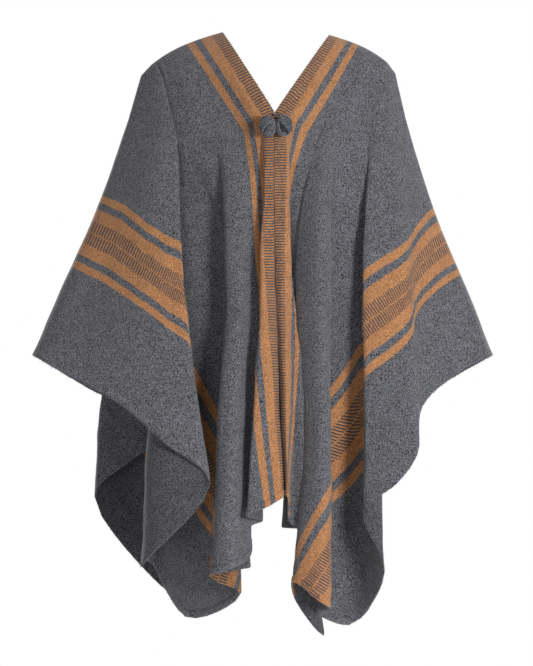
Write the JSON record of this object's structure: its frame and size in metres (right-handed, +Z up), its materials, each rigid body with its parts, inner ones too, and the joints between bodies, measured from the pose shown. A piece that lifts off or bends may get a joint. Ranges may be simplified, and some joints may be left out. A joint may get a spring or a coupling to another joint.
{
  "type": "open-front andean poncho",
  "caption": "Open-front Andean poncho in charcoal wool with ochre striped bands, worn over the shoulders and tied by two pompoms.",
  "frame": {"origin": "middle of the line between the two neck points, where the wearer's shoulders hold the cloth", "axes": "+X to the right of the front view, the front faces -Y, +Z up"},
  "size_m": [0.8324, 0.3823, 1.0883],
  "materials": {
    "left_panel": "matt wool, woven stripes",
    "right_panel": "matt wool, woven stripes",
    "pompom_left": "wound wool yarn",
    "pompom_right": "wound wool yarn",
    "clasp_cord": "twisted wool cord"
  },
  "bodies": {
    "root": {"left_panel": "left_panel", "right_panel": "right_panel", "pompom_left": "pompom_left", "pompom_right": "pompom_right", "clasp_cord": "clasp_cord"}
  },
  "joints": []
}
